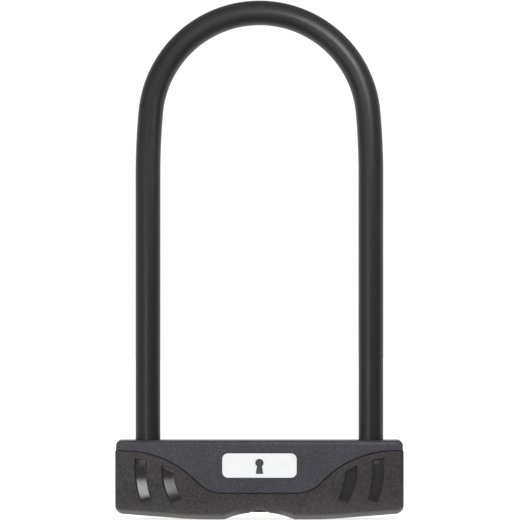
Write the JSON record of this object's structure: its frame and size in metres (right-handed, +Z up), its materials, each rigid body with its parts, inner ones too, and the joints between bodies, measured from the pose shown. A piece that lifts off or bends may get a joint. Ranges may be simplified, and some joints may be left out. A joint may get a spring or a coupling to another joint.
{
  "type": "bicycle u lock",
  "caption": "Coated steel U-shaped shackle whose feet lock into a cross bar with a key cylinder in its underside, for locking a bicycle frame to a rack.",
  "frame": {"origin": "centre of the cross bar's underside, at the height of its two resting lobes", "axes": "+Z up the shackle's legs, X along the cross bar, -Y towards the face with the badge"},
  "size_m": [0.1588, 0.035, 0.2866],
  "materials": {
    "hardened_steel": "satin hardened steel",
    "case_steel": "zinc-plated steel",
    "dark_steel": "black oxide steel",
    "bright_steel": "bright steel",
    "brass_metal": "machined brass",
    "coat": "soft satin vinyl coating",
    "cover_grey": "fine-textured dark blue-grey plastic",
    "cover_black": "fine-textured black plastic with polished grip recesses",
    "badge_plastic": "smooth white plastic",
    "seal_rubber": "matte",
    "guide_plastic": "natural nylon"
  },
  "bodies": {
    "cross_bar": {"case_tube": "case_steel", "end_plate_left": "case_steel", "end_plate_right": "case_steel", "upper_cover": "cover_grey", "lower_cover": "cover_black", "badge": "badge_plastic", "shackle_seal_left": "seal_rubber", "shackle_seal_right": "seal_rubber", "foot_guide_left": "guide_plastic", "foot_guide_right": "guide_plastic", "bolt_guide_left": "case_steel", "bolt_guide_right": "case_steel", "cylinder_housing": "dark_steel", "cylinder_pins": "hardened_steel"},
    "shackle": {"shackle_bar": "hardened_steel", "shackle_sleeve": "coat"},
    "plug": {"plug": "brass_metal", "bolt_cam": "hardened_steel", "cam_screw": "bright_steel", "wafer_springs": "bright_steel", "shutter_pin": "bright_steel", "shutter_spring": "bright_steel"},
    "bolt_left": {"bolt_left": "hardened_steel"},
    "bolt_right": {"bolt_right": "hardened_steel"},
    "wafer_1": {"wafer_1": "brass_metal"},
    "wafer_2": {"wafer_2": "brass_metal"},
    "wafer_3": {"wafer_3": "brass_metal"},
    "wafer_4": {"wafer_4": "brass_metal"},
    "wafer_5": {"wafer_5": "brass_metal"},
    "wafer_6": {"wafer_6": "brass_metal"},
    "shutter": {"keyway_shutter": "bright_steel"}
  },
  "joints": [
    {"name": "shackle_slide", "type": "slide", "parent": "cross_bar", "child": "shackle", "axis": [0, 0, 1], "range_m": [0, 0.036]},
    {"name": "plug_turn", "type": "hinge", "parent": "cross_bar", "child": "plug", "pos_m": [0, 0, 0.015], "axis": [0, 0, 1], "range_deg": [0, 90]},
    {"name": "bolt_left_slide", "type": "slide", "parent": "cross_bar", "child": "bolt_left", "axis": [-1, 0, 0], "range_m": [0, 0.00629]},
    {"name": "bolt_right_slide", "type": "slide", "parent": "cross_bar", "child": "bolt_right", "axis": [1, 0, 0], "range_m": [0, 0.00629]},
    {"name": "wafer_1_slide", "type": "slide", "parent": "plug", "child": "wafer_1", "axis": [0, 1, 0], "range_m": [0, 0.0007], "stiffness_N_per_m": 150, "springref_m": 0.003},
    {"name": "wafer_2_slide", "type": "slide", "parent": "plug", "child": "wafer_2", "axis": [0, 1, 0], "range_m": [0, 0.0007], "stiffness_N_per_m": 150, "springref_m": 0.003},
    {"name": "wafer_3_slide", "type": "slide", "parent": "plug", "child": "wafer_3", "axis": [0, 1, 0], "range_m": [0, 0.0007], "stiffness_N_per_m": 150, "springref_m": 0.003},
    {"name": "wafer_4_slide", "type": "slide", "parent": "plug", "child": "wafer_4", "axis": [0, 1, 0], "range_m": [0, 0.0007], "stiffness_N_per_m": 150, "springref_m": 0.003},
    {"name": "wafer_5_slide", "type": "slide", "parent": "plug", "child": "wafer_5", "axis": [0, 1, 0], "range_m": [0, 0.0007], "stiffness_N_per_m": 150, "springref_m": 0.003},
    {"name": "wafer_6_slide", "type": "slide", "parent": "plug", "child": "wafer_6", "axis": [0, 1, 0], "range_m": [0, 0.0007], "stiffness_N_per_m": 150, "springref_m": 0.003},
    {"name": "shutter_swing", "type": "hinge", "parent": "plug", "child": "shutter", "pos_m": [0, -0.00295, 0.0061], "axis": [1, 0, 0], "range_deg": [0, 80], "stiffness_Nm_per_rad": 0.0002, "springref_deg": -34.38}
  ],
  "couplings": [
    {"joint": "plug_turn", "follows": "bolt_right_slide", "rad_per_m": 249.6},
    {"joint": "bolt_left_slide", "follows": "bolt_right_slide", "ratio": 1}
  ]
}
